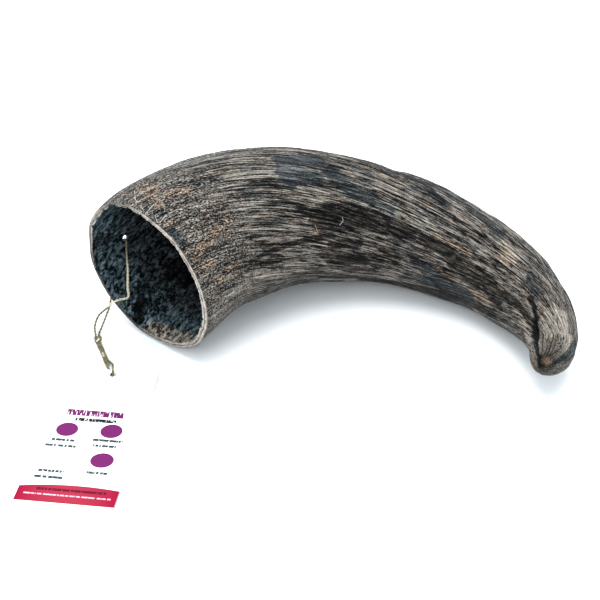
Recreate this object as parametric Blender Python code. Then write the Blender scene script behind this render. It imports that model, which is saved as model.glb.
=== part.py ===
# A cow horn, sawn off square at its wide end and hollow inside, lying on its side on a flat surface.
# A loop of thin jute twine runs through a hole drilled near the sawn end, out over the rim and
# down to a blank card tag. X is to the right, Y away from the viewer, Z up, and the surface is z = 0.

import math

import bmesh
import bpy
from mathutils import Matrix, Vector

MM = 0.001

# The horn's middle line: where the sawn end is, how long the line is, and how its heading
# (degrees from +Y towards +X) and its rise (degrees above the level) change along it. The last
# quarter hooks round by some degrees more.
MOUTH_CENTRE = Vector((-0.0975, -0.0252, 0.04445))
LINE_LENGTH = 0.302
HEADING = (34.0, 84.0, 116.5, -58.0)
HOOK = 15.5
HOOK_START = 0.75
RISE = (11.0, -95.0, 130.0, -44.0)

# The horn's girth along that line, and the rounded end beyond it, which leans to the inside of the bend.
MOUTH_RADIUS = 0.044
TIP_RADIUS = 0.0109
TAPER = 1.78
TIP_DOME = 0.0158
TIP_LEAN = 0.0054

# Where the real horn stands off that even form, in millimetres: along its far side and along its
# near side, by share of the line, and round the saw cut, by degrees. The first two lie round the
# degrees given, which change along the horn, and fade out to both sides of them.
FAR_TRIM = (
    (0.0, 0.2), (0.05, 0.6), (0.10, 0.3), (0.14, 0.6), (0.18, 1.2), (0.22, 1.2), (0.27, 0.7), (0.33, 1.1),
    (0.37, 0.8), (0.41, 0.1), (0.45, -0.6), (0.48, -0.8), (0.51, -1.5), (0.54, 0.0), (0.57, 0.7), (0.60, 0.8),
    (0.64, -0.3), (0.68, -0.7), (0.72, 0.3), (0.76, 1.1), (0.81, 1.6), (0.84, 0.5), (0.86, 0.1), (0.90, 0.8),
    (0.94, 1.2), (0.97, 1.7), (1.0, 1.3),
)
FAR_DEGREES = ((0.0, 138), (0.3, 124), (0.6, 130), (0.8, 140), (0.9, 150), (1.0, 172))
FAR_WIDTH = 50
NEAR_TRIM = (
    (0.0, 0.2), (0.05, 0.7), (0.10, 0.9), (0.20, 1.0), (0.27, 0.9), (0.33, 0.2), (0.40, -0.1), (0.55, 0.0),
    (0.62, 0.4), (0.66, 1.0), (0.70, 1.5), (0.78, 1.5), (0.85, 1.4), (0.90, 1.2), (0.95, 0.7), (1.0, 0.2),
)
NEAR_DEGREES = ((0.0, 322), (0.2, 306), (0.35, 300), (0.6, 305), (0.84, 316), (0.9, 328), (1.0, 352))
NEAR_WIDTH = 25
CUT_TRIM = (
    (0, 0.2), (60, 0.0), (75, 0.5), (110, 0.6), (135, 0.5), (150, -0.4), (168, -0.1), (190, 1.0), (215, 0.6),
    (235, 0.3), (262, -0.6), (290, -0.5), (305, 0.1), (325, 1.2), (340, 1.1), (352, 0.3), (360, 0.2),
)
CUT_TRIM_REACH = 0.12

# The saw cut is a little askew: the heading and rise of its square line, and how far
# along the horn its slant has died away.
CUT_HEADING = 39.5
CUT_RISE = 3.0
CUT_REACH = 0.045

# The wall at the sawn end, how it thickens inwards, and how deep the hollow goes, as a share of the line.
WALL = 0.0030
WALL_UNEVEN = 0.0007
WALL_THICK_SIDE = 350.0
WALL_GROWTH = 0.0052
WALL_TRIM = (
    (0, 0.0), (70, -0.2), (85, -0.9), (112, -1.0), (130, 0.2), (145, 1.2), (165, 1.2), (178, 0.2), (200, -0.3),
    (240, -0.3), (260, 0.0), (360, 0.0),
)
WALL_TRIM_REACH = 0.20
HOLLOW_DEPTH = 0.70
HOLLOW_CLOSING = 6
HOLLOW_LAST_RING = 0.995

# Low relief: long flutes, slow swellings, lumps inside, and the crease that runs into the tip.
FLUTE_HEIGHT = 0.00035
FLUTES = 7
FINE_FLUTES = 11
SWELL_HEIGHT = 0.00035
SWELLS = 31
LUMP_HEIGHT = 0.0004
CREASE_DEPTH = 0.0022
CREASE_WIDTH = 0.0024
CREASE_START = 0.84

AROUND = 48
OUTER_STATIONS = 48
DOME_STATIONS = 7
INNER_STATIONS = 22

# The drilled hole: its place along and around the horn, its slope and its width.
HOLE_SHARE = 0.080
HOLE_ANGLE = 190.6
HOLE_LINE = Vector((-0.487, 0.784, -0.386))
HOLE_DIAMETER = 0.0040
DRILL_LENGTH = 0.020

# The twine, from its knot to the tag and back, then round the rim, up inside, out through the
# hole and back down to the knot. These are the points it passes, in millimetres.
TWINE_DIAMETER = 0.0013
TWINE_STEP = 0.0036
TWINE_TURN = 25.0
TWINE_ROUTE = (
    # from the knot towards the tag
    (-127.1, -23.6, 0.9), (-120.6, -39.9, 1.0), (-117.1, -46.2, 2.6),
    # over the tag's edge, down its hole and back out under it
    (-115.7, -53.0, 5.9), (-115.5, -54.8, 5.2), (-115.5, -55.5, 3.4), (-115.9, -54.9, 1.6),
    (-116.6, -53.2, 0.8),
    # back to the knot
    (-118.2, -49.3, 0.8), (-120.5, -45.3, 0.8), (-124.9, -34.1, 0.8), (-129.0, -23.9, 0.9),
    # up from the surface to the rim
    (-130.3, -17.9, 1.0), (-131.3, -13.2, 2.1), (-130.8, -9.2, 4.1), (-129.1, -7.0, 6.6),
    (-123.2, -6.7, 12.2),
    # over the rim and down onto the wall inside
    (-121.4, -6.3, 14.2), (-119.4, -6.3, 15.4), (-117.6, -5.2, 15.6), (-115.6, -3.9, 15.2),
    (-113.6, -2.9, 14.9), (-112.5, -1.9, 15.0),
    # up the inside of the wall
    (-112.2, -0.2, 15.9), (-112.7, 2.2, 17.4), (-113.0, 5.1, 19.3), (-113.1, 8.7, 22.4),
    (-113.2, 11.7, 25.8), (-113.5, 14.4, 29.5), (-113.7, 16.8, 33.3), (-113.7, 18.3, 36.6),
    # out through the drilled hole
    (-113.6, 19.3, 38.9), (-114.4, 21.0, 39.3), (-115.5, 22.5, 38.2), (-116.4, 23.0, 36.9),
    (-117.0, 22.4, 35.2),
    # down the outside of the wall
    (-117.3, 20.6, 33.1), (-119.6, 12.4, 24.6), (-121.6, 2.0, 16.2), (-122.4, -2.6, 13.6),
    # back down to the knot
    (-123.0, -4.7, 11.0), (-123.9, -5.8, 8.8), (-127.3, -13.1, 2.6), (-128.5, -17.6, 1.1),
    (-127.9, -21.6, 1.0),
)

# The card tag: its size, the middle of its lower edge, how far it is turned, and how its upper
# end is lifted by the twine that passes under it.
TAG_WIDTH = 0.050
TAG_LENGTH = 0.100
TAG_THICKNESS = 0.0005
TAG_FOOT = Vector((-0.1281, -0.1505, 0.0))
TAG_TURN = 7.4
TAG_LIFT = 0.0022
TAG_CORNER_LIFT = 0.0020
TAG_BEND_START = 0.5
TAG_HOLE_INSET = 0.0036
TAG_HOLE_DIAMETER = 0.0040
PUNCH_LENGTH = 0.010


def clearScene():
    for item in list(bpy.data.objects):
        bpy.data.objects.remove(item, do_unlink=True)


def cubic(terms, share):
    return sum(term * share ** power for power, term in enumerate(terms))


def ease(value):
    value = min(1.0, max(0.0, value))
    return value * value * (3 - 2 * value)


# A value read from (place, value) pairs, with soft turns.
def between(pairs, place):
    for (low, first), (high, second) in zip(pairs, pairs[1:]):
        if place <= high:
            return first + (second - first) * ease((place - low) / (high - low))
    return pairs[-1][1]


def direction(headingDegrees, riseDegrees):
    heading, rise = math.radians(headingDegrees), math.radians(riseDegrees)
    return Vector((math.sin(heading) * math.cos(rise), math.cos(heading) * math.cos(rise), math.sin(rise)))


def headingAt(share):
    hooked = max(0.0, (share - HOOK_START) / (1 - HOOK_START))
    return cubic(HEADING, share) + HOOK * hooked ** 2


# The middle line is walked in short steps, half of each step's turn before it and half after.
def middleLine(steps=299):
    points = [MOUTH_CENTRE.copy()]
    for step in range(steps):
        share = (step + 0.5) / steps
        points.append(points[-1] + direction(headingAt(share), cubic(RISE, share)) * LINE_LENGTH / steps)
    return points


LINE = middleLine()


def pointAlong(share):
    place = min(max(share, 0.0), 1.0) * (len(LINE) - 1)
    low = min(int(place), len(LINE) - 2)
    return LINE[low].lerp(LINE[low + 1], place - low)


# A frame across the horn: where it is, then its level side, its upper side and the way along.
# At the sawn end it lies in the saw cut.
def frameAt(share):
    ahead = direction(headingAt(share), cubic(RISE, share))
    square = direction(CUT_HEADING, CUT_RISE)
    slant = ease(1 - share * LINE_LENGTH / CUT_REACH)
    along = (square * slant + ahead * (1 - slant)).normalized()
    level = along.cross(Vector((0, 0, 1))).normalized()
    return pointAlong(share), level, level.cross(along), along


def lobe(angle, degrees, width):
    away = math.remainder(angle - math.radians(degrees), math.tau) / math.radians(width)
    return math.exp(-away * away)


def trimAt(share, angle):
    far = between(FAR_TRIM, share) * lobe(angle, between(FAR_DEGREES, share), FAR_WIDTH)
    near = between(NEAR_TRIM, share) * lobe(angle, between(NEAR_DEGREES, share), NEAR_WIDTH)
    cut = between(CUT_TRIM, math.degrees(angle) % 360) * (1 - ease(share / CUT_TRIM_REACH))
    return (far + near + cut) * MM


def outerRadius(share, angle):
    girth = MOUTH_RADIUS + (TIP_RADIUS - MOUTH_RADIUS) * share ** TAPER
    fade = girth / MOUTH_RADIUS
    flutes = math.cos(FLUTES * angle + 1.4 * math.sin(4 * share))
    flutes += 0.6 * math.cos(FINE_FLUTES * angle - 5 * share + 1.7)
    swells = math.sin(SWELLS * share + 0.8 * math.cos(angle + 0.6)) * ease(share * 8)
    return girth + FLUTE_HEIGHT * fade * flutes + SWELL_HEIGHT * swells + trimAt(share, angle)


# The crease swings from the upper side of the horn round into its rounded end.
def creaseDepth(share, dome, angle):
    start = ease((share - CREASE_START) / (1 - CREASE_START))
    middle = math.radians(60 - 24 * start - 45 * dome)
    girth = MOUTH_RADIUS + (TIP_RADIUS - MOUTH_RADIUS) * share ** TAPER
    across = math.remainder(angle - middle, math.tau) * girth / CREASE_WIDTH
    return CREASE_DEPTH * start * (1 - 0.5 * dome) * math.exp(-across * across)


def wallAt(share, angle):
    side = math.cos(angle - math.radians(WALL_THICK_SIDE))
    uneven = WALL_UNEVEN * (side + 0.35 * math.cos(3 * angle + 1) + 0.25 * math.cos(8 * angle))
    trim = between(WALL_TRIM, math.degrees(angle) % 360) * MM * (1 - ease(share / WALL_TRIM_REACH))
    return WALL + uneven + WALL_GROWTH * share + trim


def innerRadius(share, angle):
    lumps = math.sin(5 * angle + 60 * share) + 0.7 * math.sin(9 * angle - 37 * share)
    rough = LUMP_HEIGHT * lumps * ease(share * 20)
    closing = math.sqrt(max(0.0, 1 - (share / HOLLOW_DEPTH) ** HOLLOW_CLOSING))
    return (outerRadius(share, angle) - wallAt(share, angle) + rough) * closing


# A ring across the horn: how far along it is, its radius at each angle, and for the rounded end how
# far it stands beyond the line's last point and aside of it.
def ringPoint(ring, angle):
    share, radiusAt, beyond, aside = ring
    origin, level, up, along = frameAt(share)
    across = level * math.cos(angle) + up * math.sin(angle)
    return origin + along * beyond + level * aside + across * radiusAt(share, angle)


def creasedRadius(share, angle):
    return outerRadius(share, angle) - creaseDepth(share, 0, angle)


# The rings run from the blind end of the hollow out to the rim, over it, and down to the tip.
def hornRings():
    rings = []
    for station in range(INNER_STATIONS, -1, -1):
        share = HOLLOW_LAST_RING * HOLLOW_DEPTH * math.sin(math.pi / 2 * station / INNER_STATIONS)
        rings.append((share, innerRadius, 0.0, 0.0))
    for station in range(OUTER_STATIONS + 1):
        rings.append((station / OUTER_STATIONS, creasedRadius, 0.0, 0.0))
    for station in range(1, DOME_STATIONS):
        turn = math.pi / 2 * station / DOME_STATIONS

        def domeRadius(share, angle, turn=turn):
            return (outerRadius(share, angle) - creaseDepth(share, math.sin(turn), angle)) * math.cos(turn)

        rings.append((1.0, domeRadius, TIP_DOME * math.sin(turn), TIP_LEAN * (1 - math.cos(turn))))
    return rings


def finishMesh(name, shape, material):
    bmesh.ops.recalc_face_normals(shape, faces=shape.faces)
    mesh = bpy.data.meshes.new(name)
    shape.to_mesh(mesh)
    shape.free()
    mesh.shade_smooth()
    mesh.set_sharp_from_angle(angle=math.radians(50))
    mesh.materials.append(material)
    item = bpy.data.objects.new(name, mesh)
    bpy.context.collection.objects.link(item)
    return item


def cutRound(item, name, centre, line, diameter, depth):
    shape = bmesh.new()
    bmesh.ops.create_cone(
        shape, cap_ends=True, segments=24, radius1=diameter / 2, radius2=diameter / 2, depth=depth,
        matrix=Matrix.Translation(centre) @ line.to_track_quat("Z", "Y").to_matrix().to_4x4(),
    )
    mesh = bpy.data.meshes.new(name)
    shape.to_mesh(mesh)
    shape.free()
    cutter = bpy.data.objects.new(name, mesh)
    bpy.context.collection.objects.link(cutter)
    cutter.hide_render = True
    cutter.display_type = "WIRE"
    cut = item.modifiers.new(name, "BOOLEAN")
    cut.operation = "DIFFERENCE"
    cut.solver = "EXACT"
    cut.object = cutter


# The horn's skin is a grid wrapped round the rings, joined along its seam and closed at both ends.
def makeHorn(material):
    rings = hornRings()
    shape = bmesh.new()
    bmesh.ops.create_grid(shape, x_segments=AROUND, y_segments=len(rings) - 1, size=0.5)
    for spot in shape.verts:
        angle = math.tau * round((spot.co.x + 0.5) * AROUND) / AROUND
        ring = rings[round((spot.co.y + 0.5) * (len(rings) - 1))]
        spot.co = ringPoint(ring, angle)
    bmesh.ops.remove_doubles(shape, verts=shape.verts, dist=1e-6)
    ends = bmesh.ops.holes_fill(shape, edges=[edge for edge in shape.edges if edge.is_boundary])["faces"]
    bmesh.ops.poke(shape, faces=ends)
    horn = finishMesh("horn", shape, material)
    origin, level, up, along = frameAt(HOLE_SHARE)
    angle = math.radians(HOLE_ANGLE)
    across = level * math.cos(angle) + up * math.sin(angle)
    middle = origin + across * (outerRadius(HOLE_SHARE, angle) - wallAt(HOLE_SHARE, angle) / 2)
    cutRound(horn, "horn_drill", middle, HOLE_LINE, HOLE_DIAMETER, DRILL_LENGTH)
    return horn


# How a smooth curve heads on through the middle one of three of its points, over the given stretch.
def headingThrough(before, middle, after, stretch):
    into = math.sqrt((middle - before).length)
    onward = math.sqrt((after - middle).length)
    slope = (middle - before) / into + (after - middle) / onward - (after - before) / (into + onward)
    return slope * math.sqrt(stretch)


# A smooth curve through the route's points.
def smoothRoute(points, parts=32):
    fine = []
    ends = [points[0] * 2 - points[1]] + list(points) + [points[-1] * 2 - points[-2]]
    for before, start, end, after in zip(ends, ends[1:], ends[2:], ends[3:]):
        stretch = (end - start).length
        leaving = headingThrough(before, start, end, stretch)
        arriving = headingThrough(start, end, after, stretch)
        for part in range(parts):
            share = part / parts
            near = 2 * share ** 3 - 3 * share ** 2 + 1
            fine.append(
                start * near + end * (1 - near)
                + leaving * (share ** 3 - 2 * share ** 2 + share) + arriving * (share ** 3 - share ** 2)
            )
    fine.append(points[-1].copy())
    return fine


# The curve read at every step along it, and sooner where it has turned far enough.
def readRoute(fine, step, turn):
    route = [fine[0]]
    heading = fine[1] - fine[0]
    walked = 0.0
    for start, end in zip(fine, fine[1:]):
        walked += (end - start).length
        if walked >= step or heading.angle(end - start) > math.radians(turn):
            route.append(end)
            heading = end - start
            walked = 0.0
    if walked < step / 2:
        route.pop()
    route.append(fine[-1])
    return route


def makeTwine(material):
    fine = smoothRoute([Vector(point) * MM for point in TWINE_ROUTE])
    route = readRoute(fine, TWINE_STEP, TWINE_TURN)
    curve = bpy.data.curves.new("twine", "CURVE")
    curve.dimensions = "3D"
    curve.bevel_depth = TWINE_DIAMETER / 2
    curve.bevel_resolution = 2
    curve.use_fill_caps = True
    spline = curve.splines.new("POLY")
    spline.points.add(len(route) - 1)
    for spot, place in zip(spline.points, route):
        spot.co = (*place, 1)
    curve.materials.append(material)
    twine = bpy.data.objects.new("twine", curve)
    bpy.context.collection.objects.link(twine)
    return twine


# The card lies flat at its lower end, and its upper end is bent up a little, more at one corner.
def makeTag(material):
    shape = bmesh.new()
    bmesh.ops.create_grid(shape, x_segments=4, y_segments=12, size=0.5)
    for spot in shape.verts:
        side, end = spot.co.x + 0.5, spot.co.y + 0.5
        bend = ease((end - TAG_BEND_START) / (1 - TAG_BEND_START))
        height = bend * (TAG_LIFT + TAG_CORNER_LIFT * ease(2 * side - 1) * bend)
        spot.co = Vector((spot.co.x * TAG_WIDTH, end * TAG_LENGTH, height))
    bmesh.ops.recalc_face_normals(shape, faces=shape.faces)
    if next(iter(shape.faces)).normal.z > 0:
        bmesh.ops.reverse_faces(shape, faces=shape.faces)
    bmesh.ops.solidify(shape, geom=list(shape.faces), thickness=TAG_THICKNESS)
    tag = finishMesh("tag", shape, material)
    tag.location = TAG_FOOT
    tag.rotation_euler = (0, 0, -math.radians(TAG_TURN))
    turn = Matrix.Rotation(-math.radians(TAG_TURN), 3, "Z")
    hole = TAG_FOOT + turn @ Vector((0, TAG_LENGTH - TAG_HOLE_INSET, TAG_LIFT))
    cutRound(tag, "tag_punch", hole, Vector((0, 0, 1)), TAG_HOLE_DIAMETER, PUNCH_LENGTH)
    return tag


def makeMaterial(name, colour, roughness):
    material = bpy.data.materials.new(name)
    material.use_nodes = True
    surface = material.node_tree.nodes["Principled BSDF"]
    surface.inputs["Base Color"].default_value = (*colour, 1)
    surface.inputs["Roughness"].default_value = roughness
    surface.inputs["Metallic"].default_value = 0.0
    return material


def main():
    clearScene()
    makeHorn(makeMaterial("horn", (0.115, 0.092, 0.075), 0.55))
    makeTwine(makeMaterial("jute", (0.42, 0.33, 0.20), 0.9))
    makeTag(makeMaterial("card", (0.85, 0.85, 0.85), 0.6))


main()
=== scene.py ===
# A sawn, hollow cow horn lying on its side, with a blank card tag tied to it on thin jute twine.
# Metres, X to the right, Y away from the viewer, Z up, and the surface is z = 0.
import functools
import math
import random

import bmesh
import bpy
import numpy as np
from mathutils import Matrix, Vector, noise


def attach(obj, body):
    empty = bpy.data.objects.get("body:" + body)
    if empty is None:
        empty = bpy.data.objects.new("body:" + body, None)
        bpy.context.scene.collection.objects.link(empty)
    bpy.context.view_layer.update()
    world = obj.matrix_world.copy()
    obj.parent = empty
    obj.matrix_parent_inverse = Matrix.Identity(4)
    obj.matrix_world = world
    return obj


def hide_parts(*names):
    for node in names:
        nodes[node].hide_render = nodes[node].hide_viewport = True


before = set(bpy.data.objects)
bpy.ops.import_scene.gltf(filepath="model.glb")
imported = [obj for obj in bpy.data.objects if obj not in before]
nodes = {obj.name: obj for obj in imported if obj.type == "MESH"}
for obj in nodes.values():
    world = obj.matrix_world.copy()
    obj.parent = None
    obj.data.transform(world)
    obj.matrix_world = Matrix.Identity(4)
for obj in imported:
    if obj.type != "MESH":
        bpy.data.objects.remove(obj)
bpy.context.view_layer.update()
mm = 0.001
tiny = 1e-7  # points closer than this are one


def addObject(name, data):
    item = bpy.data.objects.new(name, data)
    bpy.context.collection.objects.link(item)
    return item


def addMesh(name, shape, materials):
    mesh = bpy.data.meshes.new(name)
    shape.to_mesh(mesh)
    shape.free()
    for material in materials:
        mesh.materials.append(material)
    return addObject(name, mesh)


view = {
    "place": Vector((-0.009958, -0.549572, 0.413600)),
    "heading": -0.567,  # degrees from +Y towards +X
    "down": 36.27,
    "roll": 1.0,
    "lens": 72.0,
    "sensor": 36.0,
    "nearest": 0.01,
    "furthest": 20,
}


def makeCamera():
    heading, down, roll = (math.radians(view[key]) for key in ("heading", "down", "roll"))
    ahead = Vector((math.sin(heading) * math.cos(down), math.cos(heading) * math.cos(down), -math.sin(down)))
    right = Vector((math.cos(heading), -math.sin(heading), 0))
    below = ahead.cross(right)
    rolledRight = right * math.cos(roll) + below * math.sin(roll)
    rolledBelow = below * math.cos(roll) - right * math.sin(roll)
    data = bpy.data.cameras.new("camera")
    data.lens = view["lens"]
    data.sensor_width = view["sensor"]
    data.clip_start = view["nearest"]
    data.clip_end = view["furthest"]
    camera = addObject("camera", data)
    turn = Matrix((rolledRight, -rolledBelow, -ahead)).transposed()
    camera.matrix_world = Matrix.Translation(view["place"]) @ turn.to_4x4()
    bpy.context.scene.camera = camera


# One output of a node. Arithmetic on it adds nodes to its tree, vector ones where a value has three parts.
class Wire:
    def __init__(self, tree, socket):
        self.tree = tree
        self.socket = socket

    def __add__(self, other):
        return reckon("ADD", self, other)

    def __sub__(self, other):
        return reckon("SUBTRACT", self, other)

    def __rsub__(self, other):
        return reckon("SUBTRACT", other, self)

    def __mul__(self, other):
        return reckon("MULTIPLY", self, other)

    def __truediv__(self, other):
        return reckon("DIVIDE", self, other)

    def __pow__(self, other):
        return reckon("POWER", self, other)

    def __abs__(self):
        return reckon("ABSOLUTE", self)

    __radd__ = __add__
    __rmul__ = __mul__


def treeOf(*values):
    return next(value.tree for value in values if isinstance(value, Wire))


# An input takes a wire or a plain value, and a colour may leave its alpha out.
def feed(socket, value):
    if isinstance(value, Wire):
        value.tree.links.new(value.socket, socket)
    elif socket.type == "RGBA" and len(value) == 3:
        socket.default_value = (*value, 1)
    else:
        socket.default_value = value


def feedAll(node, values):
    for name, value in values.items():
        feed(node.inputs[name], value)


def addNode(tree, kind, values=None, output=0, **settings):
    node = tree.nodes.new(kind)
    for name, value in settings.items():
        setattr(node, name, value)
    feedAll(node, values or {})
    return Wire(tree, node.outputs[output])


def reckon(operation, *values, clamp=False):
    flat = all(
        value.socket.type == "VALUE" if isinstance(value, Wire) else isinstance(value, (int, float)) for value in values
    )
    settings = {"use_clamp": True} if clamp else {}
    return addNode(
        treeOf(*values), "ShaderNodeMath" if flat else "ShaderNodeVectorMath", dict(enumerate(values)),
        "Value" if flat or operation in ("LENGTH", "DOT_PRODUCT") else "Vector", operation=operation, **settings,
    )


def split(vector):
    first = addNode(vector.tree, "ShaderNodeSeparateXYZ", {0: vector})
    return [Wire(vector.tree, socket) for socket in first.socket.node.outputs]


def combine(*parts):
    return addNode(treeOf(*parts), "ShaderNodeCombineXYZ", dict(enumerate(parts)))


def mixed(factor, first, second, blend="MIX"):
    inputs = {0: factor, 6: first, 7: second}
    return addNode(treeOf(factor, first), "ShaderNodeMix", inputs, 2, data_type="RGBA", blend_type=blend)


# A colour multiplied by another, as far as the amount says.
def shaded(amount, colour, by):
    return mixed(amount, colour, mixed(1.0, colour, by, "MULTIPLY"))


def ramp(factor, stops):
    colour = addNode(factor.tree, "ShaderNodeValToRGB", {0: factor})
    elements = colour.socket.node.color_ramp.elements
    while len(elements) < len(stops):
        elements.new(1.0)
    for element, (place, value) in zip(elements, stops):
        element.position = place
        element.color = (*value, 1)
    return colour


# Maps low to high onto 0 to 1, with soft ends.
def step(value, low, high):
    return addNode(value.tree, "ShaderNodeMapRange", {0: value, 1: low, 2: high}, interpolation_type="SMOOTHSTEP")


def grain(vector, scale, detail=2.0, rough=0.5, warp=0.0):
    inputs = {"Vector": vector, "Scale": scale, "Detail": detail, "Roughness": rough, "Distortion": warp}
    return addNode(vector.tree, "ShaderNodeTexNoise", inputs)


# Grain on a vector that is squeezed by its own amount along each axis.
def streaked(vector, squeeze, detail, rough, warp=0.0):
    return grain(vector * squeeze, 1.0, detail, rough, warp)


# Thin lines where a grain passes through its middle.
def slits(value, wide, narrow):
    return step(abs(value - 0.5), wide, narrow)


# Patterns added to a base: each less its middle, times its weight, and where a mask is named, only there.
def stacked(base, layers, patterns):
    for name, middle, weight, *masks in layers:
        part = (patterns[name] - middle) * weight
        for mask in masks:
            part = part * patterns[mask]
        base = part + base
    return base


def attribute(tree, name, output="Fac"):
    return addNode(tree, "ShaderNodeAttribute", output=output, attribute_name=name)


def objectPlace(tree):
    return addNode(tree, "ShaderNodeTexCoord", output="Object")


def newMaterial(name):
    material = bpy.data.materials.new(name)
    material.use_nodes = True
    tree = material.node_tree
    return material, tree, tree.nodes["Principled BSDF"]


def bump(height, strength, distance):
    return addNode(height.tree, "ShaderNodeBump", {"Height": height, "Strength": strength, "Distance": distance})


# Inputs with no value of their own are vectors.
def newGroup(name, inputs, outputs):
    group = bpy.data.node_groups.new(name, "ShaderNodeTree")
    for label, value in inputs.items():
        kind = "NodeSocketVector" if value is None else "NodeSocketFloat"
        socket = group.interface.new_socket(label, in_out="INPUT", socket_type=kind)
        if value is not None:
            socket.default_value = value
    for label in outputs:
        group.interface.new_socket(label, in_out="OUTPUT", socket_type="NodeSocketFloat")
    given = group.nodes.new("NodeGroupInput")
    out = group.nodes.new("NodeGroupOutput")
    return group, {socket.name: Wire(group, socket) for socket in given.outputs}, out


def placeGroup(group, **values):
    tree = treeOf(*values.values())
    node = tree.nodes.new("ShaderNodeGroup")
    node.node_tree = group
    feedAll(node, values)
    return {socket.name: Wire(tree, socket) for socket in node.outputs}


stage = {
    "reach": 4,
    "finish": {"Base Color": (0.92, 0.925, 0.935), "Roughness": 0.8, "Specular IOR Level": 0.2},
    "sky": {"Color": (0.88, 0.955, 1.0), "Strength": 1.50},
    "lights": (  # name, place, aimed at, width, power and colour
        ("overhead", (0.05, 0.05, 1.2), (0, 0, 0), 1.0, 13.0, (1, 1, 1)),
        ("back", (-0.1, 1.1, 0.9), (0, 0, 0.05), 0.9, 10.0, (0.92, 0.96, 1.0)),
        ("front", (-0.7, -0.9, 0.8), (-0.05, 0, 0.04), 0.7, 2.8, (1, 1, 1)),
    ),
}


def areaLight(name, place, aim, size, power, colour):
    data = bpy.data.lights.new(name, "AREA")
    data.shape = "DISK"
    data.size = size
    data.energy = power
    data.color = colour
    light = addObject(name, data)
    light.location = place
    light.rotation_euler = (Vector(aim) - Vector(place)).to_track_quat("-Z", "Y").to_euler()


def makeStage():
    material, _, shader = newMaterial("white surface")
    feedAll(shader, stage["finish"])
    shape = bmesh.new()
    bmesh.ops.create_grid(shape, x_segments=1, y_segments=1, size=stage["reach"])
    addMesh("surface", shape, [material])
    for light in stage["lights"]:
        areaLight(*light)
    world = bpy.data.worlds.new("sky")
    world.use_nodes = True
    feedAll(world.node_tree.nodes["Background"], stage["sky"])
    scene = bpy.context.scene
    scene.world = world
    scene.view_settings.view_transform = "Standard"
    scene.view_settings.look = "None"


makeCamera()
makeStage()
print("camera, surface and lights made")


def cubic(terms, share):
    return sum(term * share ** power for power, term in enumerate(terms))


def ease(value):
    value = min(1.0, max(0.0, value))
    return value * value * (3 - 2 * value)


# A value read between (place, value) pairs.
def between(pairs, place):
    return float(np.interp(place, [pair[0] for pair in pairs], [pair[1] for pair in pairs]))


# Rounded ridges with sharp gaps between them, about 0 to 1.
def ridges(place, across, along):
    return min(1.0, 2.2 * abs(noise.noise(Vector((place.x / across, place.y / across, place.z / along)))))


# A grid to wrap round a path: each of its points, with its angle round the path and its row along it.
def wrappedGrid(shape, around, rows):
    for spot in bmesh.ops.create_grid(shape, x_segments=around, y_segments=rows - 1, size=0.5)["verts"]:
        column = round((spot.co.x + 0.5) * around) % around
        yield spot, math.tau * column / around, round((spot.co.y + 0.5) * (rows - 1))


# Joins the seam of a wrapped grid, and closes its two ends.
def closeGrid(shape):
    bmesh.ops.remove_doubles(shape, verts=shape.verts, dist=tiny)
    ends = bmesh.ops.holes_fill(shape, edges=[edge for edge in shape.edges if edge.is_boundary])["faces"]
    bmesh.ops.poke(shape, faces=ends)


def finish(name, shape, materials):
    bmesh.ops.remove_doubles(shape, verts=shape.verts, dist=tiny)
    bmesh.ops.recalc_face_normals(shape, faces=shape.faces)
    item = addMesh(name, shape, materials)
    item.data.shade_smooth()
    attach(item, "root")
    return item


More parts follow.
